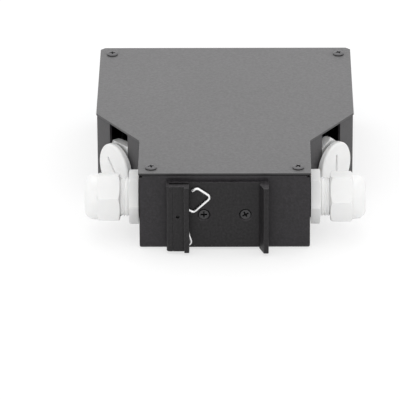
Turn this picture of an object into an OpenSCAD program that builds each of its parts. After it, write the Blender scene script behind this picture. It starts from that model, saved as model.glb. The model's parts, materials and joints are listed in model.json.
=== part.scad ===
// Fibre splice and patch box for a 35 mm top-hat rail, lying on its large face.
// The origin is the middle of the rail seat. +X points right, +Y into the box and +Z up to the cover.

/* [Housing] */
// Width across the wide part, over the walls
wide_w = 126; // [110:1:180]
// Width across the narrow part, over the walls
neck_w = 82; // [76:0.2:100]
// Depth of the narrow part, from its end wall to the slanting walls
neck_d = 37.2; // [36:0.2:60]
// Depth that the slanting walls take up
slant_d = 32.6; // [30:0.2:60]
// Depth of the wide part
wide_d = 80.4; // [78:0.2:140]
// Height of the tray, without its cover
tray_h = 38.8; // [36:0.2:60]
// Thickness of the folded sheet
sheet_t = 1.2; // [0.8:0.1:2]
// Outer radius of the bends
bend_r = 1.6; // [1.6:0.1:3]
// Gap between a plain wall's top edge and the cover
wall_gap = 0.4; // [0.2:0.1:1]
// Width of the slit between two folded walls
corner_slit = 0.2; // [0.1:0.05:0.6]
// Depth of the flanges that carry the cover
flange_d = 11; // [10:0.5:14]
// Length of the flange at each far corner
corner_flange_l = 17; // [14:0.5:30]
// Width of the tabs that carry the front panel
end_tab_w = 8; // [7:0.5:10]

/* [Cover] */
// Thickness of the cover
cover_t = 1; // [0.8:0.1:2]
// Overhang of the cover past the walls
overhang = 0.4; // [0.2:0.1:2]
// Size of the clipped far corners
corner_clip = 2.2; // [1:0.1:4]
// Distance of the near cover screws from the end wall's outside
near_screw_y = 5.7; // [5:0.1:7]
// Half the spacing of the near cover screws
near_screw_x = 35.3; // [30:0.1:36]
// Distance of the far cover screws from the front panel's outside
far_screw_y = 8; // [7:0.1:10]
// Distance of the far cover screws from the wide walls' outside
far_screw_side = 5.7; // [5:0.1:7]
// Diameter of the cover screws
cover_screw_d = 3; // [2.5:0.5:4]
// Diameter of the cover screws' heads
cover_head_d = 5.6; // [5:0.1:7.5]

/* [Rail clip] */
// Width of the rail that the clip takes
rail_w = 35; // [34:0.1:36]
// Thickness of the clip's plate
clip_t = 2; // [1.6:0.1:3]
// Length of the clip along the rail
clip_l = 34.2; // [30:0.2:36]
// Distance of the clip from the box's underside
clip_lift = 1.5; // [0:0.1:2]
// How far the lip covers the rail's edge
lip_cover = 0.5; // [0.3:0.1:0.8]
// Width of the channel that holds the spring, lip included
channel_w = 10.9; // [10:0.1:12]
// Height of the channel over the seat
channel_h = 4.8; // [4.4:0.1:5.4]
// Height of the lip over the seat
lip_h = 6.7; // [6:0.1:7.4]
// Width of the lip
lip_w = 2.4; // [2:0.1:3]
// Height of the hook over the seat
hook_h = 7.4; // [6.5:0.1:7.5]
// Width of the hook's tip
hook_tip_w = 2.3; // [1.8:0.1:3]
// Height of the slot for the rail's flange and the spring
slot_h = 1.9; // [1.7:0.1:2.1]
// Width of the hook at its nose
hook_w = 4.5; // [3.8:0.1:6]
// Depth of the groove under the hook's nose
hook_groove = 0.9; // [0.7:0.1:1.2]
// Spacing of the clip's screws
clip_screw_pitch = 20; // [16:0.5:24]
// Diameter of the clip's screws
clip_screw_d = 3.5; // [3:0.5:4]
// Diameter of the clip's countersunk heads
clip_head_d = 5.6; // [5:0.1:6.2]
// Diameter of the countersinks in the seat
clip_sink_d = 6.5; // [6:0.1:7]

/* [Rail spring] */
// Diameter of the spring wire
wire_d = 1.3; // [1:0.05:1.5]
// Inner radius of the wire's bends
wire_bend = 1.1; // [0.8:0.1:1.4]
// How far the spring reaches over the seat from the lip
spring_reach = 10.7; // [8:0.1:12]
// Travel of the spring into its channel
spring_travel = 1.6; // [1:0.1:1.8]

/* [Cable glands] */
// Height of the glands and plugs over the box's underside
port_z = 18.8; // [17:0.1:20]
// Distance of the glands from the end wall's outside
gland_y = 18.2; // [17:0.1:19]
// Diameter of the thread that goes through the wall
port_thread_d = 16; // [15:0.1:17]
// Width across flats of the gland's collar
collar_af = 23; // [22.5:0.5:25]
// Length of the gland's collar
collar_l = 4.7; // [3:0.1:6]
// Diameter of the cap nut's thread
cap_thread_d = 18.8; // [18.4:0.1:19]
// Width across flats of the cap nut
cap_af = 22; // [21.8:0.2:24]
// Length of the cap nut's hexagon
cap_hex_l = 10.8; // [10.4:0.1:14]
// Length of the cap nut's dome
cap_dome_l = 6.3; // [6:0.1:8]
// Gap between the collar and the left cap nut
left_cap_gap = 4.4; // [4:0.1:5]
// Gap between the collar and the right cap nut
right_cap_gap = 4.8; // [4:0.1:5]
// Diameter of the cable hole in the seal
cable_d = 8.4; // [6:0.1:9]
// Thickness of the flat gaskets
gasket_t = 0.5; // [0.4:0.1:1.5]
// Width across flats of the locknuts
locknut_af = 25; // [20:0.5:25.5]
// Thickness of the locknuts
locknut_t = 4.6; // [4:0.1:6]

/* [Blanking plugs] */
// Diameter of the plug's head
plug_d = 26; // [22:0.2:28]
// Thickness of the plug's head
plug_t = 2.9; // [2.4:0.1:4]
// Depth of the notches' round bottoms under the glands' height
notch_drop = 1.2; // [0:0.1:2]
// How far the right plug sits over the bottom of its notch
right_plug_rise = 0.8; // [0:0.1:2]
// Length of the screwdriver slot
plug_slot_l = 14; // [8:0.5:18]
// Width of the screwdriver slot
plug_slot_w = 1.5; // [1:0.1:3]

/* [Front panel] */
// Width of an adapter's ear
ear_w = 4.7; // [4.5:0.1:5]
// Gap between two adapters' ears
adapter_gap = 0.4; // [0.2:0.1:1]
// Height of an adapter's body
adapter_h = 9.4; // [9.2:0.1:11]
// Length of an adapter on each side of the panel
adapter_reach = 16.5; // [15:0.5:18]
// Diameter of the panel's screws
panel_screw_d = 3; // [2.5:0.5:3]

/* [Splice tray] */
// Width of the splice tray
splice_w = 104; // [80:1:110]
// Depth of the splice tray
splice_d = 52; // [46:1:54]
// Height of the splice tray
splice_h = 8; // [6:0.5:12]
// Radius of the two hubs that the fibre winds on
hub_r = 11; // [8:0.5:12]
// Height of the spacers under the splice tray
spacer_h = 5; // [3:0.5:10]
// Number of splice slots in the comb
comb_slots = 6; // [4:1:8]

/* [Hidden] */

// Clearances
fit = 0.1;
run_gap = 0.3;
cut = 0.5;

// Places in the frame: the rail seat is at y = 0 and the clip's middle at z = 0
face_y = clip_t;
floor_z = -clip_l / 2 - clip_lift;
slant_y = face_y + neck_d;
wide_y = slant_y + slant_d;
panel_y = wide_y + wide_d - sheet_t;
far_y = wide_y + wide_d;
top_z = floor_z + tray_h;
port_zz = floor_z + port_z;

// The angle that the slanting walls make with Y
slant_x = (wide_w - neck_w) / 2;
slant_a = atan(slant_x / slant_d);

// Outline of the box from above, grown by o, from the near left corner and counterclockwise
function outline(o) = let (
    s = o * tan(slant_a / 2),
    n = neck_w / 2 + o,
    w = wide_w / 2 + o
) [
    [-n, face_y - o], [n, face_y - o],
    [n, slant_y - s], [w, wide_y - s],
    [w, panel_y + o], [-w, panel_y + o],
    [-w, wide_y - s], [-n, slant_y - s]
];

// Corner of a path rounded with radius r, as points on an arc of n steps
function unit(v) = v / norm(v);
function corner_arc(a, b, c, r, n) = let (
    u = unit(a - b),
    v = unit(c - b),
    half = acos(max(-1, min(1, u * v))) / 2,
    back = r / tan(half),
    mid = b + unit(u + v) * r / sin(half),
    start = b + u * back - mid,
    turn = (180 - 2 * half) * sign(u[1] * v[0] - u[0] * v[1])
) [for (i = [0:n]) let (t = turn * i / n)
    mid + [start[0] * cos(t) - start[1] * sin(t), start[0] * sin(t) + start[1] * cos(t)]];
function rounded(pts, r, n) = let (last = len(pts) - 1) [
    pts[0],
    for (i = [1:last - 1]) each corner_arc(pts[i - 1], pts[i], pts[i + 1], r, n),
    pts[last]
];
function rounded_loop(pts, r, n) = let (k = len(pts)) [
    for (i = [0:k - 1]) each corner_arc(pts[(i + k - 1) % k], pts[i], pts[(i + 1) % k], r, n)
];

module hexagon(af) {
    circle(r = af / 2 / cos(30), $fn = 6);
}

// Hole along z through whatever lies within reach of z = 0
module hole(d, reach) {
    translate([0, 0, -reach]) cylinder(d = d, h = 2 * reach, $fn = 48);
}

module ring(r_out, r_in, h) {
    difference() {
        cylinder(r = r_out, h = h, $fn = 64);
        translate([0, 0, -cut]) cylinder(r = r_in, h = h + 2 * cut, $fn = 64);
    }
}

// A screw with its head's underside at z = 0 and its low domed head above it
module pan_screw(d, head_d, head_h, l) {
    difference() {
        union() {
            translate([0, 0, -l]) cylinder(d = d, h = l + head_h / 2, $fn = 32);
            rotate_extrude($fn = 48) polygon([
                [0, 0], [head_d * 0.48, 0],
                [head_d / 2, head_h * 0.12], [head_d / 2, head_h * 0.4],
                [head_d * 0.45, head_h * 0.64], [head_d * 0.33, head_h * 0.86],
                [head_d * 0.18, head_h * 0.97], [0, head_h]
            ]);
        }
        translate([0, 0, head_h]) cross_recess(head_d * 0.56, head_d * 0.32);
    }
}

// Cross recess of width w, cut down from z = 0: two tapered slots and a core
module cross_recess(w, depth) {
    slot = w * 0.24;
    foot = w * 0.14;
    for (a = [0, 90]) rotate([90, 0, a]) translate([0, 0, -slot / 2]) linear_extrude(slot)
        polygon([[-w / 2, cut], [-w / 2, 0], [-foot, -depth], [foot, -depth], [w / 2, 0], [w / 2, cut]]);
    translate([0, 0, -depth]) cylinder(r1 = slot * 0.55, r2 = slot, h = depth + cut, $fn = 24);
}

// Round nut pressed into the sheet
module press_nut(d) {
    ring(d * 0.95, d / 2 + fit / 2, press_nut_t);
}

// Folded tray

// Width of the strip of floor that each wall takes with it
foot = 1;

// Quarter of a bend, from a wall's foot at x = 0 to the floor at y = 0
module bend_profile() {
    intersection() {
        translate([bend_r, bend_r]) difference() {
            circle(r = bend_r, $fn = 48);
            circle(r = bend_r - sheet_t, $fn = 48);
        }
        square(bend_r);
    }
}

// Profile of a wall with its bend and a strip of the floor: inwards is +x, up is +y
module wall_profile(h) {
    bend_profile();
    translate([bend_r, 0]) square([foot, sheet_t]);
    translate([0, bend_r]) square([sheet_t, h - bend_r]);
}

// Profile of the flange that is folded inwards from a wall's top
module flange_profile(h, depth) {
    translate([0, h - bend_r - cut]) square([sheet_t, cut]);
    translate([0, h]) mirror([0, 1]) bend_profile();
    translate([bend_r, h - sheet_t]) square([depth - bend_r, sheet_t]);
}

// Length of the outline's edge from corner i
function edge_length(i) = norm(outline(0)[i + 1] - outline(0)[i]);

// Lays a profile along the outline's edge from corner i, between two distances from that corner
module along_edge(i, from, to) {
    corner = outline(0)[i];
    run = outline(0)[i + 1] - corner;
    translate([corner[0], corner[1], floor_z]) rotate([0, 0, atan2(run[1], run[0])])
        translate([from, 0, 0]) rotate([90, 0, 90]) linear_extrude(to - from) children();
}

// The part of the plan that belongs to the edge from corner i, mitred and slit at both ends
module edge_region(i) {
    outer = outline(0);
    inner = outline(-bend_r - foot);
    slit = unit(outer[i + 1] - outer[i]) * corner_slit / 2;
    translate([0, 0, floor_z - cut]) linear_extrude(tray_h + 2 * cut)
        polygon([outer[i] + slit, outer[i + 1] - slit, inner[i + 1] - slit, inner[i] + slit]);
}

module plain_wall(i) {
    intersection() {
        along_edge(i, -bend_r - foot, edge_length(i) + bend_r + foot) wall_profile(tray_h - wall_gap);
        edge_region(i);
    }
}

// Gap between the end wall's flange and each side wall
fold_gap = 0.3;

// Wall at the narrow end: mitred at both ends, and folded in at the top between the side walls
module end_wall() {
    l = edge_length(0);
    end = sheet_t + fold_gap;
    intersection() {
        along_edge(0, 0, l) wall_profile(tray_h - bend_r);
        edge_region(0);
    }
    along_edge(0, end, l - end) flange_profile(tray_h, flange_d);
}

// Right wall of the wide part: plain up to the flange at its far corner
module wide_wall() {
    l = edge_length(3);
    intersection() {
        along_edge(3, -bend_r - foot, l - corner_flange_l) wall_profile(tray_h - wall_gap);
        edge_region(3);
    }
    along_edge(3, l - corner_flange_l, l) {
        wall_profile(tray_h - bend_r);
        flange_profile(tray_h, flange_d);
    }
}

// Tab at the open end, folded in from the right wide wall
module end_tab() {
    relief = bend_r + 1;
    translate([wide_w / 2 - end_tab_w - sheet_t, panel_y - sheet_t, floor_z + relief])
        cube([end_tab_w + sheet_t / 2, sheet_t, tray_h - 2 * relief]);
}

// Places children on the middle of the slanting wall's outside, on side s and at height z.
// There x runs along the wall to the wide part, y up and z out of the wall.
module on_slant(s, z = port_zz - notch_drop) {
    mirror([s < 0 ? 1 : 0, 0, 0])
        translate([(neck_w + wide_w) / 4, slant_y + slant_d / 2, z])
            rotate([0, 0, 90 - slant_a]) rotate([90, 0, 0]) children();
}

// Places children on the narrow part's side wall, on side s, with z out of the wall
module on_side(s) {
    translate([s * neck_w / 2, face_y + gland_y, port_zz])
        rotate([0, 0, s > 0 ? 0 : 180]) rotate([0, 90, 0]) rotate([0, 0, 90]) children();
}

// Flat part of the floor, from the middle of the walls' strips out to the open end
module tray_floor() {
    inner = outline(-bend_r - foot / 2);
    w = wide_w / 2 - bend_r - foot / 2;
    polygon([inner[0], inner[1], inner[2], inner[3], [w, panel_y], [-w, panel_y], inner[6], inner[7]]);
}

module body_tray() {
    color([0.16, 0.16, 0.17]) difference() {
        union() {
            translate([0, 0, floor_z]) linear_extrude(sheet_t) tray_floor();
            end_wall();
            for (m = [0, 1]) mirror([m, 0, 0]) {
                plain_wall(1);
                plain_wall(2);
                wide_wall();
                end_tab();
            }
        }
        for (s = [-1, 1]) {
            on_side(s) hole(port_thread_d + 2 * fit, 3 * sheet_t);
            on_slant(s) slant_notch();
        }
        for (p = cover_screw_places()) translate([p[0], p[1], top_z])
            hole(cover_screw_d + 2 * fit, 2 * sheet_t);
        for (s = [-1, 1]) translate([s * clip_screw_pitch / 2, face_y, 0]) rotate([90, 0, 0])
            hole(clip_screw_d + 2 * fit, 2 * sheet_t);
        for (p = panel_screw_places()) translate([p[0], panel_y, p[1]]) rotate([90, 0, 0])
            hole(panel_screw_d + 2 * fit, 2 * sheet_t);
        for (p = tray_screw_places()) translate([p[0], p[1], floor_z])
            hole(tray_screw_d + 2 * fit, 2 * sheet_t);
    }
}

// Notch in the slanting wall, round below and open to the top
module slant_notch() {
    d = port_thread_d + 2 * fit;
    hole(d, 3 * sheet_t);
    translate([-d / 2, 0, -3 * sheet_t]) cube([d, tray_h, 6 * sheet_t]);
}

// Cover and its fasteners

function cover_screw_places() = [
    for (s = [-1, 1]) [s * near_screw_x, face_y + near_screw_y],
    for (s = [-1, 1]) [s * (wide_w / 2 - far_screw_side), far_y - far_screw_y]
];

module cover() {
    edge = outline(overhang);
    far = far_y + overhang;
    w = wide_w / 2 + overhang;
    color([0.3, 0.3, 0.31]) difference() {
        translate([0, 0, top_z]) linear_extrude(cover_t) polygon(rounded_loop([
            edge[0], edge[1], edge[2], edge[3],
            [w, far - corner_clip], [w - corner_clip, far],
            [-w + corner_clip, far], [-w, far - corner_clip],
            edge[6], edge[7]
        ], 0.6, 4));
        for (p = cover_screw_places()) translate([p[0], p[1], top_z])
            hole(cover_screw_d + 2 * fit, 2 * cover_t);
    }
}

cover_head_h = 1.2;
press_nut_t = 2.2;
cover_screw_l = cover_t + sheet_t + press_nut_t + 1.8;

module cover_screws() {
    turns = [12, 40, 5, 33];
    places = cover_screw_places();
    color([0.1, 0.1, 0.1]) for (i = [0:3])
        translate([places[i][0], places[i][1], top_z + cover_t]) rotate([0, 0, turns[i]])
            pan_screw(cover_screw_d, cover_head_d, cover_head_h, cover_screw_l);
}

module cover_nuts() {
    color([0.7, 0.7, 0.72]) for (p = cover_screw_places())
        translate([p[0], p[1], top_z - sheet_t - press_nut_t])
            press_nut(cover_screw_d);
}

// Front panel with its adapters

// Three adapters share what the panel's tabs leave free
adapter_count = 3;
adapter_pitch = (wide_w - 2 * (sheet_t + end_tab_w)) / adapter_count;
adapter_w = adapter_pitch - 2 * ear_w - adapter_gap;
function adapter_x(i) = (i - (adapter_count + 1) / 2) * adapter_pitch;
adapter_z = floor_z + tray_h / 2;
panel_h = tray_h - 0.2;
panel_screw_inset = 9;
function panel_screw_places() = [
    for (s = [-1, 1], k = [-1, 1])
        [s * (wide_w / 2 - sheet_t - end_tab_w / 2), adapter_z + k * (tray_h / 2 - panel_screw_inset)]
];
ear_screw_x = adapter_w / 2 + ear_w / 2;
adapter_flange_t = 2.2;
adapter_screw_d = 2.2;
adapter_head_d = 3.9;
adapter_head_h = 1.5;
panel_head_d = 1.85 * panel_screw_d;

module front_panel() {
    color([0.16, 0.16, 0.17]) translate([0, panel_y, 0]) difference() {
        translate([-wide_w / 2, 0, floor_z]) cube([wide_w, sheet_t, panel_h]);
        for (i = [1:adapter_count])
            translate([adapter_x(i) - adapter_w / 2 - 2 * fit, -cut, adapter_z - adapter_h / 2 - 2 * fit])
                cube([adapter_w + 4 * fit, sheet_t + 2 * cut, adapter_h + 4 * fit]);
        for (i = [1:adapter_count], s = [-1, 1])
            translate([adapter_x(i) + s * ear_screw_x, 0, adapter_z]) rotate([90, 0, 0])
                hole(adapter_screw_d + fit, 2 * sheet_t);
        for (p = panel_screw_places()) translate([p[0], 0, p[1]]) rotate([90, 0, 0])
            hole(panel_screw_d + 2 * fit, 2 * sheet_t);
    }
}

module panel_screws() {
    color([0.1, 0.1, 0.1]) for (p = panel_screw_places())
        translate([p[0], panel_y + sheet_t, p[1]]) rotate([-90, 0, 0])
            pan_screw(panel_screw_d, panel_head_d, cover_head_h, 2 * sheet_t + press_nut_t + 1);
}

module panel_nuts() {
    color([0.7, 0.7, 0.72]) for (p = panel_screw_places())
        translate([p[0], panel_y - sheet_t, p[1]]) rotate([90, 0, 0])
            press_nut(panel_screw_d);
}

// Sizes inside an adapter's port
port_pitch = adapter_w / 2 - 0.3;
socket_w = port_pitch - 1.8;
socket_h = adapter_h - 1.8;
key_w = 4;
key_l = 7;
web_t = 3.4;
holder_r = 2.3;
holder_l = 6.6;
sleeve_r = 1.6;
sleeve_bore_r = 1.25;
sleeve_l = 2 * holder_l - 1.8;
adapter_mid_y = panel_y + sheet_t + adapter_flange_t / 2;
function port_x(n) = adapter_x(ceil(n / 2)) + (n % 2 == 1 ? -1 : 1) * port_pitch / 2;

// Duplex adapter: two keyed sockets back to back, a web and a sleeve holder in each
module adapter(i) {
    color([0.13, 0.42, 0.75]) translate([adapter_x(i), adapter_mid_y, adapter_z]) difference() {
        union() {
            difference() {
                adapter_block();
                for (s = [-1, 1], e = [-1, 1]) translate([s * port_pitch / 2, 0, 0]) socket_space(e);
            }
            for (s = [-1, 1]) translate([s * port_pitch / 2, -holder_l, 0]) rotate([-90, 0, 0])
                cylinder(r = holder_r, h = 2 * holder_l, $fn = 48);
        }
        for (s = [-1, 1]) translate([s * port_pitch / 2, 0, 0]) {
            translate([0, -sleeve_l / 2 - fit, 0]) rotate([-90, 0, 0])
                cylinder(r = sleeve_r + fit / 2, h = sleeve_l + 2 * fit, $fn = 48);
            translate([0, -holder_l - cut, 0]) rotate([-90, 0, 0])
                cylinder(r = sleeve_bore_r, h = 2 * holder_l + 2 * cut, $fn = 48);
        }
        for (s = [-1, 1]) translate([s * ear_screw_x, 0, 0]) rotate([90, 0, 0])
            hole(adapter_screw_d + 2 * fit, adapter_flange_t);
    }
}

// Body, flange with its two ears, and a raised band round the upper edge of each mouth
module adapter_block() {
    ears = adapter_w / 2 + ear_w;
    half_h = adapter_h / 2 + 0.6;
    band_w = 3;
    band_h = 0.4;
    translate([-adapter_w / 2, -adapter_reach, -adapter_h / 2])
        cube([adapter_w, 2 * adapter_reach, adapter_h]);
    rotate([90, 0, 0]) translate([0, 0, -adapter_flange_t / 2]) linear_extrude(adapter_flange_t)
        polygon(rounded_loop([[-ears, -half_h], [ears, -half_h], [ears, half_h], [-ears, half_h]], 1, 4));
    for (y = [-adapter_reach, adapter_reach - band_w])
        translate([-adapter_w / 2 + band_w, y, adapter_h / 2 - cut])
            cube([adapter_w - 2 * band_w, band_w, cut + band_h]);
}

// Space of one socket at end e, with the key slot in its upper wall
module socket_space(e) {
    l = adapter_reach - web_t / 2;
    y0 = e > 0 ? web_t / 2 : -adapter_reach - cut;
    translate([-socket_w / 2, y0, -socket_h / 2]) cube([socket_w, l + cut, socket_h]);
    translate([-key_w / 2, e > 0 ? adapter_reach - key_l : -adapter_reach - cut, socket_h / 2 - cut])
        cube([key_w, key_l + cut, adapter_h - socket_h + 2 * cut]);
}

module adapter_screws() {
    color([0.7, 0.7, 0.72]) for (i = [1:adapter_count], s = [-1, 1])
        translate([adapter_x(i) + s * ear_screw_x, panel_y + sheet_t + adapter_flange_t, adapter_z])
            rotate([-90, 0, 0])
                pan_screw(adapter_screw_d, adapter_head_d, adapter_head_h, adapter_flange_t + sheet_t + 2);
}

// Split ceramic sleeve that lines up the two ferrules of a port
module sleeve(n) {
    slit = 0.5;
    color([0.93, 0.93, 0.9]) translate([port_x(n), adapter_mid_y - sleeve_l / 2, adapter_z])
        rotate([-90, 0, 0]) difference() {
            cylinder(r = sleeve_r, h = sleeve_l, $fn = 48);
            translate([0, 0, -cut]) cylinder(r = sleeve_bore_r, h = sleeve_l + 2 * cut, $fn = 48);
            translate([0, -slit / 2, -cut]) cube([2 * sleeve_r, slit, sleeve_l + 2 * cut]);
        }
}

// Dust cap: a tube over the sleeve holder, a guide in the socket's mouth and a ribbed grip
cap_gap = 0.35;
cap_wall = 0.9;
cap_guide_l = 4;
cap_rim_t = 1.2;
cap_grip_l = 5;
module dust_cap(n) {
    mouth = adapter_reach;
    tube_y = web_t / 2 + 1.2;
    grip_w = socket_w - 2.4;
    grip_h = socket_h - 2.6;
    groove = 0.5;
    color([0.1, 0.1, 0.11]) translate([port_x(n), adapter_mid_y, adapter_z]) difference() {
        union() {
            translate([0, tube_y, 0]) rotate([-90, 0, 0])
                cylinder(r = holder_r + cap_gap + cap_wall, h = mouth - tube_y, $fn = 48);
            translate([-socket_w / 2 + cap_gap, mouth - cap_guide_l, -socket_h / 2 + cap_gap])
                cube([socket_w - 2 * cap_gap, cap_guide_l + cap_gap, socket_h - 2 * cap_gap]);
            translate([0, mouth + cap_gap, 0]) rotate([-90, 0, 0]) linear_extrude(cap_rim_t)
                square([socket_w + cap_rim_t, socket_h + cap_rim_t], center = true);
            translate([0, mouth + cap_gap, 0]) rotate([-90, 0, 0]) linear_extrude(cap_grip_l)
                square([grip_w, grip_h], center = true);
        }
        rotate([-90, 0, 0]) cylinder(r = holder_r + cap_gap, h = mouth - 1, $fn = 48);
        for (k = [1, 3, 5], s = [-1, 1])
            translate([-grip_w, mouth + cap_gap + cap_rim_t + k * groove, s * grip_h / 2 - groove / 2])
                cube([2 * grip_w, groove, groove]);
    }
}

// Rail clip

// Section of the clip across the rail: x as in the frame, y is the height over the seat
lip_x = lip_cover - rail_w / 2;
nose_x = rail_w / 2 - hook_groove;
clip_left = lip_x - channel_w;
clip_right = nose_x + hook_w;

// Pin that holds the spring's bend, and the slot's end past it
pin_x = lip_x - channel_w / 2;
pin_z = clip_l * 0.035;
pin_d = 1.8;
pin_floor = 0.6;
bend_x = pin_x - pin_d / 2 - fit - wire_d / 2;
pocket_x = bend_x - wire_d / 2 - spring_travel - run_gap;

module clip_section() {
    difference() {
        polygon(rounded_loop([
            [clip_left, -clip_t], [clip_right, -clip_t],
            [clip_right, hook_h], [clip_right - hook_tip_w, hook_h],
            [nose_x, slot_h - 0.5], [nose_x, slot_h - 0.7],
            [nose_x + hook_groove, slot_h - 0.7], [nose_x + hook_groove, 0],
            [lip_x - lip_w, 0], [lip_x - lip_w, slot_h], [lip_x, slot_h],
            [lip_x, lip_h], [lip_x - lip_w, lip_h], [lip_x - lip_w, channel_h],
            [clip_left, channel_h]
        ], 0.04, 2));
        translate([pocket_x, 0]) square([lip_x - pocket_x - lip_w + cut, slot_h]);
        translate([clip_left, channel_h]) corner_cutter(1.6, 1, -1);
        translate([clip_right, hook_h]) corner_cutter(0.6, -1, -1);
        translate([lip_x, lip_h]) corner_cutter(0.5, -1, -1);
        translate([clip_left + 3, channel_h]) circle(r = 0.25, $fn = 24);
    }
}

// What is cut off a corner to round it with radius r; sx and sy point into the material
module corner_cutter(r, sx, sy) {
    difference() {
        translate([sx > 0 ? -cut : -r, sy > 0 ? -cut : -r]) square([r + cut, r + cut]);
        translate([sx * r, sy * r]) circle(r = r, $fn = 48);
    }
}

// Screw hole through the plate with its countersink, drawn from the seat downwards
module countersink() {
    hole(clip_screw_d + 2 * fit, 2 * clip_t);
    r2 = clip_screw_d / 2 + fit;
    h = clip_sink_d / 2 - r2;
    translate([0, 0, -h]) cylinder(r1 = r2, r2 = clip_sink_d / 2, h = h, $fn = 48);
    cylinder(d = clip_sink_d, h = cut, $fn = 48);
}

module rail_bracket() {
    color([0.12, 0.12, 0.125]) difference() {
        translate([0, 0, -clip_l / 2]) linear_extrude(clip_l) mirror([0, 1]) clip_section();
        for (s = [-1, 1]) translate([s * clip_screw_pitch / 2, 0, 0]) rotate([90, 0, 0]) countersink();
        translate([pin_x, -channel_h - cut, pin_z]) rotate([-90, 0, 0])
            cylinder(d = pin_d + 2 * fit, h = channel_h + clip_t + cut - pin_floor, $fn = 32);
    }
}

// The heads rest in their countersinks, a little under the seat
module bracket_screws() {
    turns = [0, 28];
    head_h = (clip_head_d - clip_screw_d) / 2;
    sunk = (clip_sink_d - clip_head_d) / 2 - fit / 2;
    l = clip_t + sheet_t + press_nut_t + 1 - sunk;
    color([0.1, 0.1, 0.1]) for (i = [0, 1])
        translate([(i * 2 - 1) * clip_screw_pitch / 2, sunk, 0]) rotate([90, 0, 0]) rotate([0, 0, turns[i]])
            difference() {
                union() {
                    translate([0, 0, -head_h])
                        cylinder(r1 = clip_screw_d / 2, r2 = clip_head_d / 2, h = head_h, $fn = 48);
                    translate([0, 0, -l]) cylinder(d = clip_screw_d, h = l - head_h / 2, $fn = 32);
                }
                cross_recess(clip_head_d * 0.6, clip_head_d * 0.3);
            }
}

module bracket_nuts() {
    color([0.7, 0.7, 0.72]) for (s = [-1, 1])
        translate([s * clip_screw_pitch / 2, face_y + sheet_t, 0]) rotate([-90, 0, 0])
            press_nut(clip_screw_d);
}

// Spring wire: its middle line in the slot's middle plane, x and z as in the frame.
// It zigzags from its free end through the tip that presses on the rail, back round the pin to its far end.
wire_y = -slot_h / 2;
function spring_line() = let (h = clip_l / 2, tip = lip_x + spring_reach) [
    [lip_x + 0.12 * spring_reach, 0.76 * h],
    [lip_x + 0.36 * spring_reach, 0.86 * h],
    [tip, 0.58 * h],
    [lip_x + 0.19 * spring_reach, 0.11 * h],
    [lip_x - lip_w - 1, 0.29 * h],
    [bend_x, pin_z + 1.6],
    [bend_x, pin_z - 2],
    [lip_x - lip_w / 2, -0.39 * h],
    [lip_x + 0.1 * spring_reach, -0.84 * h],
    [lip_x - 0.19 * spring_reach, -0.95 * h]
];

module rail_spring() {
    sides = 12;
    path = rounded(spring_line(), wire_bend + wire_d / 2, 5);
    last = len(path) - 1;
    rings = [for (i = [0:last]) let (
        a = path[max(0, i - 1)],
        b = path[min(last, i + 1)],
        d = unit(b - a)
    ) [for (k = [0:sides - 1]) let (
        side = cos(360 * k / sides) * wire_d / 2,
        up = sin(360 * k / sides) * wire_d / 2
    ) [path[i][0] - d[1] * side, wire_y + up, path[i][1] + d[0] * side]]];
    color([0.86, 0.86, 0.88]) polyhedron(
        points = [for (r = rings) each r],
        faces = [
            [for (k = [0:sides - 1]) k],
            [for (k = [sides - 1:-1:0]) last * sides + k],
            for (i = [0:last - 1], k = [0:sides - 1]) let (n = (k + 1) % sides)
                [i * sides + k, (i + 1) * sides + k, (i + 1) * sides + n, i * sides + n]
        ]
    );
}

module spring_pin() {
    sunk = 1.2;
    color([0.3, 0.3, 0.3]) translate([pin_x, -channel_h + sunk, pin_z]) rotate([-90, 0, 0])
        cylinder(d = pin_d, h = channel_h + clip_t - sunk - pin_floor - fit, $fn = 32);
}

// Cable glands: all of these are drawn along z, with z = 0 on the wall's outside
collar_z = gasket_t;
thread_z = collar_z + collar_l;
neck_l = cap_hex_l - 1.2;
mouth_z = thread_z + neck_l;
tail_l = sheet_t + locknut_t + 3;
stem_bore_d = port_thread_d - 5;
ridge_step = 1.5;
ridge_h = 0.5;

// Cage, seal and cap nut fit inside each other: radii, and heights over the cage's foot
cage_r = cap_thread_d / 2 - 0.7;
seal_r = cage_r - 1.9;
tip_r = cable_d / 2 + 2.1;
grip_r = cable_d / 2 + 1;
foot_h = 1.4;
cage_h = cap_dome_l - 0.3;
finger_count = 10;
finger_slit = 1;
cage_z = cap_hex_l - 2.1;
left_cap_z = thread_z + left_cap_gap;
right_cap_z = thread_z + right_cap_gap;

// How far the collars' and the cap nuts' hexagons are turned
left_collar_turn = 2.4;
right_collar_turn = 1.2;
left_cap_turn = 19.3;
right_cap_turn = 49.4;

module gland_gasket() {
    color([0.08, 0.08, 0.08]) ring(collar_af / 2 - 1.4, port_thread_d / 2 + fit, gasket_t);
}

// Hexagon of height h whose corners are turned off by chamfer c at the top, and at the bottom too if both
module turned_hexagon(af, h, c, both) {
    r = af / 2 / cos(30);
    intersection() {
        linear_extrude(h) hexagon(af);
        rotate_extrude($fn = 96) polygon([
            [0, 0], [both ? r - 1.7 * c : r, 0], [r, both ? c : 0], [r, h - c], [r - 1.7 * c, h], [0, h]
        ]);
    }
}

module locknut(turn) {
    color([0.93, 0.93, 0.92]) translate([0, 0, -sheet_t]) difference() {
        mirror([0, 0, 1]) rotate([0, 0, turn]) turned_hexagon(locknut_af, locknut_t, 0.7, true);
        hole(port_thread_d + 2 * fit, 2 * locknut_t);
    }
}

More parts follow.
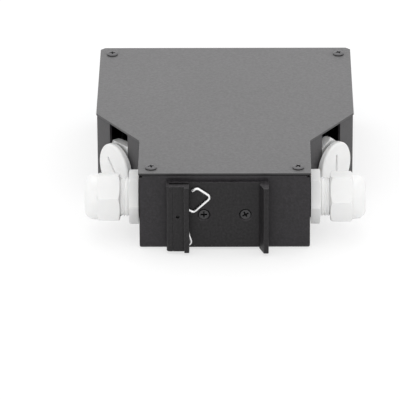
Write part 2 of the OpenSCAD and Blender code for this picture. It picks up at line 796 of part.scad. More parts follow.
module gland_body(turn) {
    funnel_h = 3;
    color([0.93, 0.93, 0.92]) difference() {
        union() {
            translate([0, 0, -tail_l]) cylinder(d = port_thread_d, h = tail_l + collar_z, $fn = 64);
            translate([0, 0, collar_z]) rotate([0, 0, turn]) turned_hexagon(collar_af, collar_l, 0.5, false);
            translate([0, 0, thread_z]) cap_thread(neck_l);
        }
        translate([0, 0, -tail_l - cut]) cylinder(d = stem_bore_d, h = tail_l + mouth_z + 2 * cut, $fn = 64);
        translate([0, 0, mouth_z - funnel_h])
            cylinder(r1 = stem_bore_d / 2, r2 = cage_r - 1.3, h = funnel_h + fit, $fn = 64);
    }
}

// Thread of the cap nut, as ridges round the neck
module cap_thread(l) {
    r = cap_thread_d / 2;
    root = r - ridge_h;
    flank = ridge_step / 5;
    rotate_extrude($fn = 64) polygon([
        [0, 0], [root, 0],
        for (k = [0:floor((l - 1) / ridge_step) - 1]) let (z = (k + 0.25) * ridge_step) each [
            [root, z], [r, z + flank], [r, z + 2.5 * flank], [root, z + 3.5 * flank]
        ],
        [root, l], [0, l]
    ]);
}

// Clamping cage with fingers, for a cap nut that starts at z0
module gland_claw(z0) {
    inner = seal_r + 0.2;
    color([0.85, 0.85, 0.84]) translate([0, 0, z0 + cage_z]) difference() {
        rotate_extrude($fn = 64) polygon([
            [inner, 0], [cage_r, 0], [cage_r, foot_h], [cage_r - 0.5, foot_h], [cage_r - 0.7, foot_h + 1],
            [tip_r, cage_h], [grip_r, cage_h], [grip_r, cage_h - 0.4], [inner, foot_h + 0.8]
        ]);
        for (k = [0:finger_count - 1]) rotate([0, 0, 360 * (k + 0.5) / finger_count])
            translate([0, -finger_slit / 2, foot_h + 0.2]) cube([cage_r + cut, finger_slit, cage_h]);
    }
}

// Seal, squeezed more by the cap nut that is screwed on further
module gland_seal(z0) {
    bore_r = (cable_d - (max(left_cap_z, right_cap_z) - z0)) / 2;
    color([0.12, 0.12, 0.12]) translate([0, 0, z0 + cage_z]) rotate_extrude($fn = 64) polygon([
        [bore_r, 0], [seal_r, 0], [seal_r, foot_h + 0.7],
        [grip_r - 0.15, cage_h - 0.6], [bore_r, cage_h - 0.6]
    ]);
}

// Domed cap nut, from its start z0, with its hexagon turned by turn
module gland_nut(z0, turn) {
    dome_r = cap_af / 2 - fit;
    round_r = cap_dome_l * 0.73;
    end_z = cap_hex_l + cap_dome_l;
    roof_h = cap_dome_l + 0.7;
    color([0.93, 0.93, 0.92]) translate([0, 0, z0]) difference() {
        union() {
            rotate([0, 0, turn]) turned_hexagon(cap_af, cap_hex_l, 0.9, true);
            translate([0, 0, cap_hex_l]) rotate_extrude($fn = 96) polygon([
                [0, -cut], [dome_r, -cut], [dome_r, cap_dome_l - round_r],
                for (t = [0:10:80])
                    [dome_r - round_r + round_r * cos(t), cap_dome_l - round_r + round_r * sin(t)],
                [0, cap_dome_l]
            ]);
        }
        translate([0, 0, -cut])
            cylinder(r = cap_thread_d / 2 + run_gap, h = cage_z - run_gap + cut, $fn = 64);
        translate([0, 0, cage_z - run_gap - fit]) rotate_extrude($fn = 64) polygon([
            [0, 0], [cage_r + run_gap, 0], [cage_r + run_gap, foot_h + 0.6], [cage_r - run_gap, foot_h + 1.4],
            [tip_r + 0.2, roof_h - 0.4], [tip_r + 0.2, roof_h], [grip_r + 0.4, roof_h],
            [grip_r + 0.4, end_z], [0, end_z]
        ]);
    }
}

// Height of the right plug, and how far the plugs' locknuts and screwdriver slots are turned
right_plug_z = port_zz - notch_drop + right_plug_rise;
left_nut_turn = -5;
right_nut_turn = 20;
left_slot_turn = 45;
right_slot_turn = 90;

// Blanking plug: slotted head outside the notch, threaded tail through it
module plug(slot_turn) {
    edge_r = 1;
    slot_depth = 1.8;
    color([0.93, 0.93, 0.92]) difference() {
        union() {
            translate([0, 0, -tail_l]) cylinder(d = port_thread_d, h = tail_l + gasket_t, $fn = 64);
            translate([0, 0, gasket_t]) rotate_extrude($fn = 96) polygon([
                [0, 0], [plug_d / 2 - 0.2, 0], [plug_d / 2, 0.2],
                for (t = [0:15:90])
                    [plug_d / 2 - edge_r + edge_r * cos(t), plug_t - edge_r + edge_r * sin(t)],
                [0, plug_t]
            ]);
        }
        translate([0, 0, -tail_l - cut]) cylinder(d = stem_bore_d, h = tail_l + cut, $fn = 48);
        translate([0, 0, gasket_t + plug_t]) rotate([0, 0, slot_turn])
            cube([plug_slot_l, plug_slot_w, 2 * slot_depth], center = true);
    }
}

module plug_gasket() {
    color([0.08, 0.08, 0.08]) ring(plug_d / 2 - 1.4, port_thread_d / 2 + fit, gasket_t);
}

// Splice tray and its holder
tray_screw_d = 3;
tray_head_d = 5.4;
tray_head_h = 1.9;
spacer_af = 1.85 * tray_screw_d;
splice_wall = 1.6;
splice_corner = 12;
hub_wall = 1.4;
hub_boss_h = splice_wall + 1;
hub_x = splice_w / 2 - hub_r - 3;
splice_y = wide_y + 4;
splice_z = floor_z + sheet_t + spacer_h;
function tray_screw_places() = [for (s = [-1, 1]) [s * hub_x, splice_y + splice_d / 2]];

module rounded_slab(w, d, h, r) {
    linear_extrude(h) polygon(rounded_loop([[-w / 2, 0], [w / 2, 0], [w / 2, d], [-w / 2, d]], r, 6));
}

// Shallow tray with a hub at each end, four holding tabs and two notches where the fibre comes in
module splice_tray() {
    inner_w = splice_w - 2 * splice_wall;
    inner_d = splice_d - 2 * splice_wall;
    tab_w = 10;
    tab_d = 4;
    entry_w = 8;
    color([0.5, 0.52, 0.54]) translate([0, splice_y, splice_z]) difference() {
        union() {
            difference() {
                rounded_slab(splice_w, splice_d, splice_h, splice_corner);
                translate([0, splice_wall, splice_wall])
                    rounded_slab(inner_w, inner_d, splice_h, splice_corner - splice_wall);
            }
            for (s = [-1, 1]) translate([s * hub_x, splice_d / 2, splice_wall / 2]) {
                ring(hub_r, hub_r - hub_wall, splice_h - splice_wall / 2 - 1);
                cylinder(d = tray_head_d + 1.4, h = hub_boss_h - splice_wall / 2, $fn = 48);
            }
            for (s = [-1, 1], y = [splice_wall / 2, splice_d - splice_wall / 2 - tab_d])
                translate([s * splice_w / 5 - tab_w / 2, y, splice_h - 1]) cube([tab_w, tab_d, 1]);
        }
        for (s = [-1, 1]) translate([s * hub_x, splice_d / 2, 0]) hole(tray_screw_d + 2 * fit, splice_h);
        for (s = [-1, 1]) translate([s * (splice_w / 2 - splice_corner - entry_w / 2), 0, splice_wall])
            translate([-entry_w / 2, -cut, 0]) cube([entry_w, splice_wall + 2 * cut, splice_h]);
    }
}

// Comb with a slot for each splice, cut through in its middle
module splice_comb() {
    rib = 1.4;
    pitch = 4.4;
    base = 1.2;
    comb_h = splice_h - splice_wall - 1.4;
    w = comb_slots * pitch + rib;
    l = (hub_x - hub_r) * 1.1;
    color([0.2, 0.2, 0.21]) translate([-l / 2, splice_y + splice_d / 2 - w / 2, splice_z + splice_wall])
        difference() {
            cube([l, w, comb_h]);
            for (k = [0:comb_slots - 1]) translate([-cut, rib + k * pitch, base])
                cube([l + 2 * cut, pitch - rib, comb_h]);
            translate([l / 3, -cut, base]) cube([l / 3, w + 2 * cut, comb_h]);
        }
}

module tray_spacers() {
    color([0.7, 0.7, 0.72]) for (p = tray_screw_places()) translate([p[0], p[1], floor_z + sheet_t])
        difference() {
            linear_extrude(spacer_h) hexagon(spacer_af);
            hole(tray_screw_d + fit, 2 * spacer_h);
        }
}

module tray_screws() {
    color([0.7, 0.7, 0.72]) for (p = tray_screw_places()) translate([p[0], p[1], splice_z + hub_boss_h])
        pan_screw(tray_screw_d, tray_head_d, tray_head_h, hub_boss_h + spacer_h - 1);
}

body_tray();
cover();
cover_screws();
cover_nuts();
front_panel();
panel_screws();
panel_nuts();
for (i = [1:adapter_count]) adapter(i);
adapter_screws();
for (n = [1:2 * adapter_count]) sleeve(n);
for (n = [1:2 * adapter_count]) dust_cap(n);
rail_bracket();
bracket_screws();
bracket_nuts();
rail_spring();
spring_pin();
on_side(-1) gland_gasket();  // gland_left_gasket
on_side(-1) gland_body(left_collar_turn);  // gland_left_body
on_side(-1) locknut(0);  // gland_left_locknut
on_side(-1) gland_claw(left_cap_z);  // gland_left_claw
on_side(-1) gland_seal(left_cap_z);  // gland_left_seal
on_side(-1) gland_nut(left_cap_z, left_cap_turn);  // gland_left_nut
on_side(1) gland_gasket();  // gland_right_gasket
on_side(1) gland_body(right_collar_turn);  // gland_right_body
on_side(1) locknut(0);  // gland_right_locknut
on_side(1) gland_claw(right_cap_z);  // gland_right_claw
on_side(1) gland_seal(right_cap_z);  // gland_right_seal
on_side(1) gland_nut(right_cap_z, right_cap_turn);  // gland_right_nut
on_slant(-1) plug(left_slot_turn);  // plug_left
on_slant(-1) plug_gasket();  // plug_left_gasket
on_slant(-1) locknut(left_nut_turn);  // plug_left_locknut
on_slant(1, right_plug_z) plug(right_slot_turn);  // plug_right
on_slant(1, right_plug_z) plug_gasket();  // plug_right_gasket
on_slant(1, right_plug_z) locknut(right_nut_turn);  // plug_right_locknut
splice_tray();
splice_comb();
tray_spacers();
tray_screws();
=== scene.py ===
import json
import math

import bmesh
import bpy
from mathutils import Matrix, Vector


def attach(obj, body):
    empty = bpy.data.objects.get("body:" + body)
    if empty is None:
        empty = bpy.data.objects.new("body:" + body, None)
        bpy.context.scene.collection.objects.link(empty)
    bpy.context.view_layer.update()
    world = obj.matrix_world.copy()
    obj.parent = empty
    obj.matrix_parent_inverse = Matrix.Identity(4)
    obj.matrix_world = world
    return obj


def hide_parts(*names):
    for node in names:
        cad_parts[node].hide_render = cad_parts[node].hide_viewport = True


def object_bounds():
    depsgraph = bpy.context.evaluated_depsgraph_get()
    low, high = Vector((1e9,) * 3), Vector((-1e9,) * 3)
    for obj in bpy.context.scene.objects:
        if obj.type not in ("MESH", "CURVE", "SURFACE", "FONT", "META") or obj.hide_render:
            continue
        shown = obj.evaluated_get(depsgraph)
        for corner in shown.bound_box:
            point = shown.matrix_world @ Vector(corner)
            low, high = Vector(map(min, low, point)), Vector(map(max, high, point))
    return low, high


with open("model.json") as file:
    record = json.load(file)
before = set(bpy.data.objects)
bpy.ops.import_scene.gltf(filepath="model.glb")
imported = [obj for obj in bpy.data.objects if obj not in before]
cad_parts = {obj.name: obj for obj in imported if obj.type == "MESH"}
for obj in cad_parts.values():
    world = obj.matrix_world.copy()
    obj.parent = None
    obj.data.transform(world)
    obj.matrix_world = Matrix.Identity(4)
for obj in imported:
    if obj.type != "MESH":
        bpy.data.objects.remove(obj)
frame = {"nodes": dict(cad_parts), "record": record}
cad_box = [list(c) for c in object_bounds()]
nodes = frame["nodes"]
body_of_node = {n: b for b, ns in frame["record"]["behaviour"]["bodies"].items() for n in ns}
slot_of_node = {s["node"]: s["material_slot"] for s in frame["record"]["subparts"]}
MM = 0.001

# Materials


def new_material(name):
    mat = bpy.data.materials.new(name)
    mat.use_nodes = True
    return mat, mat.node_tree, mat.node_tree.nodes["Principled BSDF"]


def node(tree, kind, **inputs):
    n = tree.nodes.new(kind)
    for k, v in inputs.items():
        n.inputs[k.replace("_", " ")].default_value = v
    return n


def noise(tree, coords, scale, detail=2.0, stretch=None):
    """Noise over the object's own coordinates. scale is the size of its grains in mm."""
    source = coords
    if stretch:
        m = tree.nodes.new("ShaderNodeMapping")
        m.inputs["Scale"].default_value = stretch
        tree.links.new(coords, m.inputs["Vector"])
        source = m.outputs["Vector"]
    n = node(tree, "ShaderNodeTexNoise", Scale=1.0 / (scale * MM), Detail=detail, Roughness=0.55)
    tree.links.new(source, n.inputs["Vector"])
    return n.outputs["Fac"]


def spread(tree, value, lo, hi, start=0.3, end=0.7):
    r = tree.nodes.new("ShaderNodeMapRange")
    r.inputs["From Min"].default_value = start
    r.inputs["From Max"].default_value = end
    r.inputs["To Min"].default_value = lo
    r.inputs["To Max"].default_value = hi
    tree.links.new(value, r.inputs["Value"])
    return r.outputs["Result"]


def multiply(tree, a, b):
    m = tree.nodes.new("ShaderNodeMath")
    m.operation = "MULTIPLY"
    tree.links.new(a, m.inputs[0])
    tree.links.new(b, m.inputs[1])
    return m.outputs[0]


def scaled_colour(tree, colour, factor):
    """The colour times a grey factor that varies over the surface."""
    m = tree.nodes.new("ShaderNodeVectorMath")
    m.operation = "SCALE"
    m.inputs[0].default_value = colour
    tree.links.new(factor, m.inputs["Scale"])
    return m.outputs["Vector"]


def mix_colour(tree, factor, a, b):
    m = tree.nodes.new("ShaderNodeMix")
    m.data_type = "RGBA"
    tree.links.new(factor, m.inputs["Factor"])
    for socket, value in ((m.inputs[6], a), (m.inputs[7], b)):
        if isinstance(value, tuple):
            socket.default_value = (*value, 1.0)
        else:
            tree.links.new(value, socket)
    return m.outputs[2]


def edges(tree, radius, strength=1.0):
    """About 1 on the model's edges and 0 on its faces."""
    bevel = node(tree, "ShaderNodeBevel", Radius=radius * MM)
    bevel.samples = 6
    geometry = tree.nodes.new("ShaderNodeNewGeometry")
    dot = tree.nodes.new("ShaderNodeVectorMath")
    dot.operation = "DOT_PRODUCT"
    tree.links.new(bevel.outputs["Normal"], dot.inputs[0])
    tree.links.new(geometry.outputs["True Normal"], dot.inputs[1])
    return spread(tree, dot.outputs["Value"], strength, 0.0, 0.8, 0.99)


def tilt_painted_light(tree, level, upright):
    """Painted light by tilt: the first colour on faces that look up, the second one on upright faces."""
    parts = tree.nodes.new("ShaderNodeSeparateXYZ")
    tree.links.new(tree.nodes.new("ShaderNodeNewGeometry").outputs["Normal"], parts.inputs[0])
    return mix_colour(tree, spread(tree, parts.outputs["Z"], 1.0, 0.0, 0.1, 0.7), level, upright)


def bumps(tree, shader, layers, round_edges=0.0):
    """Adds bump layers (height, depth in mm) on top of each other, over edges rounded by the shader."""
    last = None
    if round_edges:
        bevel = node(tree, "ShaderNodeBevel", Radius=round_edges * MM)
        bevel.samples = 6
        last = bevel.outputs["Normal"]
    for height, depth in layers:
        b = node(tree, "ShaderNodeBump", Strength=1.0, Distance=depth * MM)
        tree.links.new(height, b.inputs["Height"])
        if last:
            tree.links.new(last, b.inputs["Normal"])
        last = b.outputs["Normal"]
    tree.links.new(last, shader.inputs["Normal"])


def powder_coat(name, colour, roughness, specular, sheen, grain, edge, rim=None):
    """Satin powder coat: fine orange peel, faint clouds, lighter on edges from wear and a painted highlight. Where rim
    is given, upright faces take it as painted shade, and the colour on faces that look up is a painted top light.
    """
    mat, tree, shader = new_material(name)
    at = tree.nodes.new("ShaderNodeTexCoord").outputs["Object"]
    fine = noise(tree, at, 0.55, 3.0)
    speck = noise(tree, at, 1.3, 2.0)
    peel = noise(tree, at, 1.6, 1.0)
    cloud = noise(tree, at, 38.0, 2.0)
    tone = multiply(tree, spread(tree, fine, 1.0 - grain, 1.0 + grain), spread(tree, cloud, 0.94, 1.06))
    tone = multiply(tree, tone, spread(tree, speck, 1.0 - grain, 1.0 + grain))
    base = scaled_colour(tree, colour, tone)
    # edge_tone lightens the edges: partly wear, partly a painted highlight along rounded edges such as the cover's top
    # edge
    edge_tone = tuple(min(1.0, c * 1.7 + 0.02) for c in colour)
    base = mix_colour(tree, edges(tree, 0.35, edge), base, edge_tone)
    # painted light: faces that look up keep the lit colour, and upright faces take the darker rim colour as painted
    # shade
    if rim:
        base = tilt_painted_light(tree, base, rim)
    tree.links.new(base, shader.inputs["Base Color"])
    tree.links.new(spread(tree, fine, roughness - 0.05, roughness + 0.07), shader.inputs["Roughness"])
    shader.inputs["Specular IOR Level"].default_value = specular
    shader.inputs["Sheen Weight"].default_value = sheen
    shader.inputs["Sheen Roughness"].default_value = 0.35
    bumps(tree, shader, [(peel, 0.014), (fine, 0.024)])
    return mat


def anodised(name, colour, roughness):
    """Black anodised extrusion: faint draw lines along Z, with a painted top light on faces that look up."""
    mat, tree, shader = new_material(name)
    at = tree.nodes.new("ShaderNodeTexCoord").outputs["Object"]
    lines = noise(tree, at, 0.5, 3.0, (1.0, 1.0, 0.02))
    fine = noise(tree, at, 0.4, 2.0)
    speck = noise(tree, at, 1.2, 2.0)
    tone = multiply(tree, spread(tree, lines, 0.88, 1.12), spread(tree, fine, 0.95, 1.05))
    tone = multiply(tree, tone, spread(tree, speck, 0.55, 1.45))
    base = scaled_colour(tree, colour, tone)
    edge_tone = tuple(min(1.0, c * 2.0 + 0.06) for c in colour)
    # painted top light: faces that look up are 2.6 times lighter than upright ones
    base = tilt_painted_light(tree, scaled_colour(tree, tuple(c * 2.6 for c in colour), tone), base)
    tree.links.new(mix_colour(tree, edges(tree, 0.3, 0.8), base, edge_tone), shader.inputs["Base Color"])
    tree.links.new(spread(tree, lines, roughness - 0.06, roughness + 0.08), shader.inputs["Roughness"])
    shader.inputs["Specular IOR Level"].default_value = 0.3
    bumps(tree, shader, [(lines, 0.006), (fine, 0.008)])
    return mat


def nylon(name, colour):
    """Moulded nylon: milky, satin, with faint flow marks."""
    mat, tree, shader = new_material(name)
    at = tree.nodes.new("ShaderNodeTexCoord").outputs["Object"]
    fine = noise(tree, at, 0.35, 2.0)
    flow = noise(tree, at, 9.0, 2.0)
    tone = multiply(tree, spread(tree, flow, 0.975, 1.01), spread(tree, fine, 0.99, 1.01))
    tree.links.new(scaled_colour(tree, colour, tone), shader.inputs["Base Color"])
    tree.links.new(spread(tree, fine, 0.36, 0.46), shader.inputs["Roughness"])
    shader.inputs["Specular IOR Level"].default_value = 0.42
    shader.inputs["Subsurface Weight"].default_value = 0.25
    shader.inputs["Subsurface Radius"].default_value = (1.0, 0.95, 0.9)
    shader.inputs["Subsurface Scale"].default_value = 0.0012
    bumps(tree, shader, [(flow, 0.02), (fine, 0.004)], 0.25)
    return mat


def moulded(name, colour, roughness, specular=0.5, texture=0.008):
    """Moulded plastic with a fine spark-eroded texture and rubbed edges."""
    mat, tree, shader = new_material(name)
    at = tree.nodes.new("ShaderNodeTexCoord").outputs["Object"]
    fine = noise(tree, at, 0.3, 3.0)
    flow = noise(tree, at, 7.0, 1.0)
    base = scaled_colour(tree, colour, multiply(tree, spread(tree, fine, 0.94, 1.06), spread(tree, flow, 0.96, 1.04)))
    edge_tone = tuple(min(1.0, c * 1.25 + 0.02) for c in colour)
    tree.links.new(mix_colour(tree, edges(tree, 0.2, 0.5), base, edge_tone), shader.inputs["Base Color"])
    tree.links.new(spread(tree, fine, roughness - 0.05, roughness + 0.06), shader.inputs["Roughness"])
    shader.inputs["Specular IOR Level"].default_value = specular
    bumps(tree, shader, [(fine, texture)], 0.12)
    return mat


def metal(name, colour, roughness, stretch, scratches=0.12):
    """Plated or drawn metal with fine lines in the direction it was worked."""
    mat, tree, shader = new_material(name)
    at = tree.nodes.new("ShaderNodeTexCoord").outputs["Object"]
    lines = noise(tree, at, 0.15, 3.0, stretch)
    cloud = noise(tree, at, 3.0, 2.0)
    tone = multiply(tree, spread(tree, lines, 1.0 - scratches, 1.0 + scratches * 0.5), spread(tree, cloud, 0.94, 1.03))
    tree.links.new(scaled_colour(tree, colour, tone), shader.inputs["Base Color"])
    tree.links.new(spread(tree, cloud, roughness - 0.05, roughness + 0.08), shader.inputs["Roughness"])
    shader.inputs["Metallic"].default_value = 1.0
    bumps(tree, shader, [(lines, 0.003)], 0.08)
    return mat


def blackened(name, colour, upright, roughness):
    """Black zinc on a screw: slightly glossy, bare steel on the rubbed edges, with a painted top light on faces that
    look up and painted shade in the recess.
    """
    mat, tree, shader = new_material(name)
    at = tree.nodes.new("ShaderNodeTexCoord").outputs["Object"]
    fine = noise(tree, at, 0.25, 3.0)
    tone = spread(tree, fine, 0.85, 1.15)
    # painted top light: faces that look up take the lighter colour, and upright faces the darker upright colour
    base = tilt_painted_light(tree, scaled_colour(tree, colour, tone), scaled_colour(tree, upright, tone))
    base = mix_colour(tree, edges(tree, 0.15, 0.35), base, (0.24, 0.24, 0.25))
    # painted shade: ambient occlusion darkens the recess and the ring around countersunk heads to near black
    recess_shade = node(tree, "ShaderNodeAmbientOcclusion", Distance=1.8 * MM)
    recess_shade.samples = 8
    base = mix_colour(tree, spread(tree, recess_shade.outputs["AO"], 1.0, 0.0, 0.6, 0.92), base, (0.004, 0.004, 0.004))
    tree.links.new(base, shader.inputs["Base Color"])
    tree.links.new(spread(tree, fine, roughness - 0.05, roughness + 0.08), shader.inputs["Roughness"])
    shader.inputs["Metallic"].default_value = 0.35
    bumps(tree, shader, [(fine, 0.006)], 0.1)
    return mat


materials = {
    # cover_coat is the same paint as the body: its lighter colour is a painted top light, and its rim colour is a
    # painted side shade
    "cover_coat": powder_coat("cover_coat", (0.054, 0.052, 0.0545), 0.42, 0.5, 1.0, 0.34, 0.4, (0.01, 0.009, 0.01)),
    "body_coat": powder_coat("body_coat", (0.0165, 0.0145, 0.017), 0.42, 0.35, 0.9, 0.3, 0.3),
    "clip_coat": anodised("clip_coat", (0.0125, 0.0115, 0.0125), 0.45),
    # black_screw: its lighter colour on faces that look up is a painted top light
    "black_screw": blackened("black_screw", (0.12, 0.118, 0.122), (0.045, 0.044, 0.046), 0.36),
    "plated_steel": metal("plated_steel", (0.66, 0.66, 0.67), 0.3, (1.0, 0.3, 1.0)),
    "spring_wire": metal("spring_wire", (0.93, 0.93, 0.93), 0.36, (0.3, 1.0, 0.3), 0.05),
    "adapter_plastic": moulded("adapter_plastic", (0.03, 0.14, 0.42), 0.4),
    "sleeve_ceramic": moulded("sleeve_ceramic", (0.82, 0.81, 0.77), 0.2, 0.6, 0.002),
    "cap_plastic": moulded("cap_plastic", (0.028, 0.028, 0.03), 0.5),
    "seal_rubber": moulded("seal_rubber", (0.022, 0.022, 0.022), 0.62, 0.35, 0.012),
    "white_nylon": nylon("white_nylon", (0.88, 0.88, 0.875)),
    "tray_plastic": moulded("tray_plastic", (0.26, 0.27, 0.29), 0.5),
    "comb_plastic": moulded("comb_plastic", (0.04, 0.04, 0.045), 0.55),
}
for name, obj in nodes.items():
    mat = materials[slot_of_node[name]]
    if not obj.material_slots:
        obj.data.materials.append(mat)
    for s in obj.material_slots:
        s.material = mat

# Pieces


def finish_piece(obj, node_name, weighted=True):
    """Gives a new piece its node's material and body, and hides the node's own part."""
    obj.data.materials.clear()
    obj.data.materials.append(materials[slot_of_node[node_name]])
    if weighted:
        w = obj.modifiers.new("normals", "WEIGHTED_NORMAL")
        w.keep_sharp = True
    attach(obj, body_of_node[node_name])
    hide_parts(node_name)
    return obj


def softened(node_name, width, weld=0.002, sharp=35, limit=32, segments=2, sunk_rim=0.0):
    """The node's own shape as a closed mesh whose edges are rounded by width, in mm.

    sunk_rim cuts that much off the rim of a flat countersunk head that looks to -Y.
    """
    bm = bmesh.new()
    bm.from_mesh(nodes[node_name].data)
    bmesh.ops.remove_doubles(bm, verts=bm.verts, dist=weld * MM)
    bmesh.ops.dissolve_degenerate(bm, dist=weld * MM, edges=bm.edges)
    bmesh.ops.dissolve_limit(bm, angle_limit=math.radians(0.8), verts=bm.verts, edges=bm.edges)
    if sunk_rim:
        rim = [
            e for e in bm.edges
            if len(e.link_faces) == 2
            and min(f.normal.y for f in e.link_faces) < -0.9
            and max(f.normal.y for f in e.link_faces) > 0.3
        ]
        bmesh.ops.bevel(
            bm, geom=rim, offset=sunk_rim * MM, offset_type="OFFSET", segments=1, profile=0.5, affect="EDGES",
        )
    hard = [e for e in bm.edges if len(e.link_faces) == 2 and e.calc_face_angle() > math.radians(limit)]
    bmesh.ops.bevel(
        bm, geom=hard, offset=width * MM, offset_type="OFFSET", segments=segments, profile=0.6, affect="EDGES",
        clamp_overlap=True,
    )
    me = bpy.data.meshes.new(node_name + "_soft")
    bm.to_mesh(me)
    bm.free()
    me.polygons.foreach_set("use_smooth", [True] * len(me.polygons))
    me.set_sharp_from_angle(angle=math.radians(sharp))
    obj = bpy.data.objects.new(node_name + "_soft", me)
    bpy.context.scene.collection.objects.link(obj)
    return finish_piece(obj, node_name)


def arc_path(points, bend, steps=10):
    """A path through the points, with its corners rounded to the radius bend."""
    path = [Vector(points[0])]
    for before, corner, after in zip(points, points[1:], points[2:]):
        corner = Vector(corner)
        u, v = (Vector(before) - corner).normalized(), (Vector(after) - corner).normalized()
        half = u.angle(v) / 2
        start = corner + u * bend / math.tan(half)
        centre = corner + (u + v).normalized() * bend / math.sin(half)
        turn = math.pi - 2 * half
        axis = (start - centre).cross(-u)
        for i in range(steps + 1):
            path.append(centre + Matrix.Rotation(turn * i / steps, 3, axis) @ (start - centre))
    path.append(Vector(points[-1]))
    return path


def bent_wire(node_name, points, bend, radius, sides=20):
    """A round wire along a flat path, with slightly rounded ends."""
    path = [p * MM for p in arc_path(points, bend)]
    r = radius * MM
    bm = bmesh.new()
    rings = []
    for i, p in enumerate(path):
        along = (path[min(i + 1, len(path) - 1)] - path[max(i - 1, 0)]).normalized()
        side = Vector((0.0, 1.0, 0.0))
        up = along.cross(side)
        steps = [(0.0, 1.0)]
        if i == 0:
            steps = [(0.0, 0.72), (0.1, 0.92), (0.28, 1.0)]
        elif i == len(path) - 1:
            steps = [(-0.28, 1.0), (-0.1, 0.92), (0.0, 0.72)]
        for back, grow in steps:
            centre = p + along * back * r
            rings.append([
                bm.verts.new(centre + (side * math.cos(a) + up * math.sin(a)) * r * grow)
                for a in (2 * math.pi * k / sides for k in range(sides))
            ])
    for a, b in zip(rings, rings[1:]):
        for k in range(sides):
            n = (k + 1) % sides
            bm.faces.new((a[k], a[n], b[n], b[k]))
    bm.faces.new(list(reversed(rings[0])))
    bm.faces.new(rings[-1])
    bmesh.ops.recalc_face_normals(bm, faces=bm.faces)
    me = bpy.data.meshes.new(node_name + "_wire")
    bm.to_mesh(me)
    bm.free()
    me.polygons.foreach_set("use_smooth", [True] * len(me.polygons))
    me.set_sharp_from_angle(angle=math.radians(40))
    obj = bpy.data.objects.new(node_name + "_wire", me)
    bpy.context.scene.collection.objects.link(obj)
    return finish_piece(obj, node_name, weighted=False)


WIRE_Y = -0.95
bent_wire(
    "rail_spring",
    [(x, WIRE_Y, z) for x, z in (
        (-15.72, 13.0), (-13.15, 14.7), (-6.3, 9.9), (-14.97, 1.88), (-20.4, 4.96),
        (-24.1, 2.8), (-24.1, -0.8), (-18.2, -6.67), (-15.93, -14.36), (-19.03, -16.2),
    )],
    1.75, 0.65,
)
softened("cover", 0.3)
softened("front_panel", 0.12)
softened("body_tray", 0.1)
softened("rail_bracket", 0.12, 0.06)
softened("cover_screws", 0.06)
softened("bracket_screws", 0.06, sunk_rim=0.4)
softened("panel_screws", 0.06)
softened("adapter_screws", 0.05)
for side in ("left", "right"):
    softened("gland_" + side + "_nut", 0.3)
    softened("gland_" + side + "_body", 0.15)
    softened("gland_" + side + "_locknut", 0.25)
    softened("plug_" + side, 0.15)
    softened("plug_" + side + "_locknut", 0.25)
for i in (1, 2, 3):
    softened("adapter_%d" % i, 0.12)
for i in range(1, 7):
    softened("dust_cap_%d" % i, 0.1)
softened("splice_tray", 0.15)
softened("splice_comb", 0.1)

# Stage, light and camera

FLOOR_Z = cad_box[0][2]
bm = bmesh.new()
bmesh.ops.create_grid(bm, x_segments=8, y_segments=8, size=6.0)
me = bpy.data.meshes.new("floor")
bm.to_mesh(me)
bm.free()
floor = bpy.data.objects.new("floor", me)
floor.location.z = FLOOR_Z - 0.00002
bpy.context.scene.collection.objects.link(floor)
mat = bpy.data.materials.new("floor")
mat.use_nodes = True
tree = mat.node_tree
tree.nodes.clear()
diffuse = node(tree, "ShaderNodeBsdfDiffuse")
glow = tree.nodes.new("ShaderNodeEmission")
path = tree.nodes.new("ShaderNodeLightPath")
seen = tree.nodes.new("ShaderNodeMath")
seen.operation = "MAXIMUM"
seen2 = tree.nodes.new("ShaderNodeMath")
seen2.operation = "MAXIMUM"
tree.links.new(path.outputs["Is Camera Ray"], seen.inputs[0])
tree.links.new(path.outputs["Is Glossy Ray"], seen.inputs[1])
tree.links.new(seen.outputs[0], seen2.inputs[0])
tree.links.new(path.outputs["Is Transmission Ray"], seen2.inputs[1])
gain = tree.nodes.new("ShaderNodeMath")
gain.operation = "MULTIPLY"
gain.inputs[1].default_value = 0.64
tree.links.new(seen2.outputs[0], gain.inputs[0])
tree.links.new(gain.outputs[0], glow.inputs["Strength"])
tree.links.new(mix_colour(tree, seen2.outputs[0], (0.88, 0.88, 0.88), (0.38, 0.38, 0.38)), diffuse.inputs["Color"])
both = tree.nodes.new("ShaderNodeAddShader")
out = tree.nodes.new("ShaderNodeOutputMaterial")
tree.links.new(diffuse.outputs[0], both.inputs[0])
tree.links.new(glow.outputs[0], both.inputs[1])
tree.links.new(both.outputs[0], out.inputs["Surface"])
floor.data.materials.append(mat)

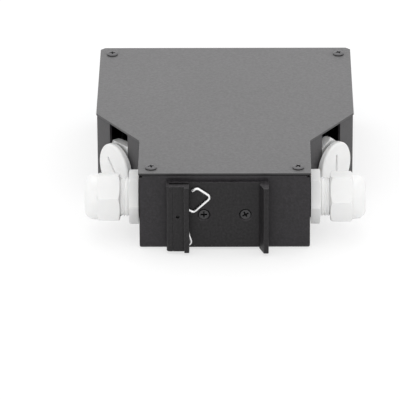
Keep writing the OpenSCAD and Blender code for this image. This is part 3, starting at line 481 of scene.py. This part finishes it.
world = bpy.data.worlds.new("world")
bpy.context.scene.world = world
world.use_nodes = True
tree = world.node_tree
tree.nodes.clear()
path = tree.nodes.new("ShaderNodeLightPath")
ambient = node(tree, "ShaderNodeBackground", Color=(1.0, 1.0, 1.0, 1.0), Strength=0.87)
white = node(tree, "ShaderNodeBackground", Color=(1.0, 1.0, 1.0, 1.0), Strength=1.0)
a = tree.nodes.new("ShaderNodeMath")
a.operation = "MAXIMUM"
b = tree.nodes.new("ShaderNodeMath")
b.operation = "MAXIMUM"
tree.links.new(path.outputs["Is Camera Ray"], a.inputs[0])
tree.links.new(path.outputs["Is Glossy Ray"], a.inputs[1])
tree.links.new(a.outputs[0], b.inputs[0])
tree.links.new(path.outputs["Is Transmission Ray"], b.inputs[1])
mix = tree.nodes.new("ShaderNodeMixShader")
out = tree.nodes.new("ShaderNodeOutputWorld")
tree.links.new(b.outputs[0], mix.inputs["Fac"])
tree.links.new(ambient.outputs[0], mix.inputs[1])
tree.links.new(white.outputs[0], mix.inputs[2])
tree.links.new(mix.outputs[0], out.inputs["Surface"])


def softbox(name, place, target, size, power):
    data = bpy.data.lights.new(name, "AREA")
    data.shape = "RECTANGLE"
    data.size, data.size_y = size
    data.energy = power
    obj = bpy.data.objects.new(name, data)
    obj.location = place
    obj.rotation_mode = "QUATERNION"
    obj.rotation_quaternion = (Vector(target) - Vector(place)).to_track_quat("-Z", "Y")
    bpy.context.scene.collection.objects.link(obj)


MIDDLE = (0.0, 0.07, 0.0)
softbox("top", (0.0, 0.75, 1.5), MIDDLE, (1.8, 1.4), 6.2)
softbox("left", (-1.5, -0.4, 0.7), MIDDLE, (1.2, 1.0), 1.9)
softbox("right", (1.5, -0.4, 0.7), MIDDLE, (1.2, 1.0), 1.9)
softbox("front", (0.0, -1.6, 0.8), MIDDLE, (1.4, 1.0), 3.6)

cam = bpy.data.cameras.new("camera")
cam.sensor_width = 36.0
cam.lens = 36.0 * 4384.8 / 400.0
cam.clip_start, cam.clip_end = 0.05, 30.0
elevation, azimuth, roll = math.radians(25.4), math.radians(-0.62), math.radians(-0.37)
ahead = Vector((math.sin(azimuth) * math.cos(elevation), math.cos(azimuth) * math.cos(elevation), -math.sin(elevation)))
right = Vector((math.cos(azimuth), -math.sin(azimuth), 0.0))
up = right.cross(ahead)
right, up = right * math.cos(roll) + up * math.sin(roll), up * math.cos(roll) - right * math.sin(roll)
camera = bpy.data.objects.new("camera", cam)
camera.matrix_world = Matrix.Translation((0.00874, -1.89646, 0.90848)) @ Matrix((right, up, -ahead)).transposed().to_4x4()
bpy.context.scene.collection.objects.link(camera)
bpy.context.scene.camera = camera
bpy.context.scene.view_settings.view_transform = "Standard"

bpy.context.view_layer.update()
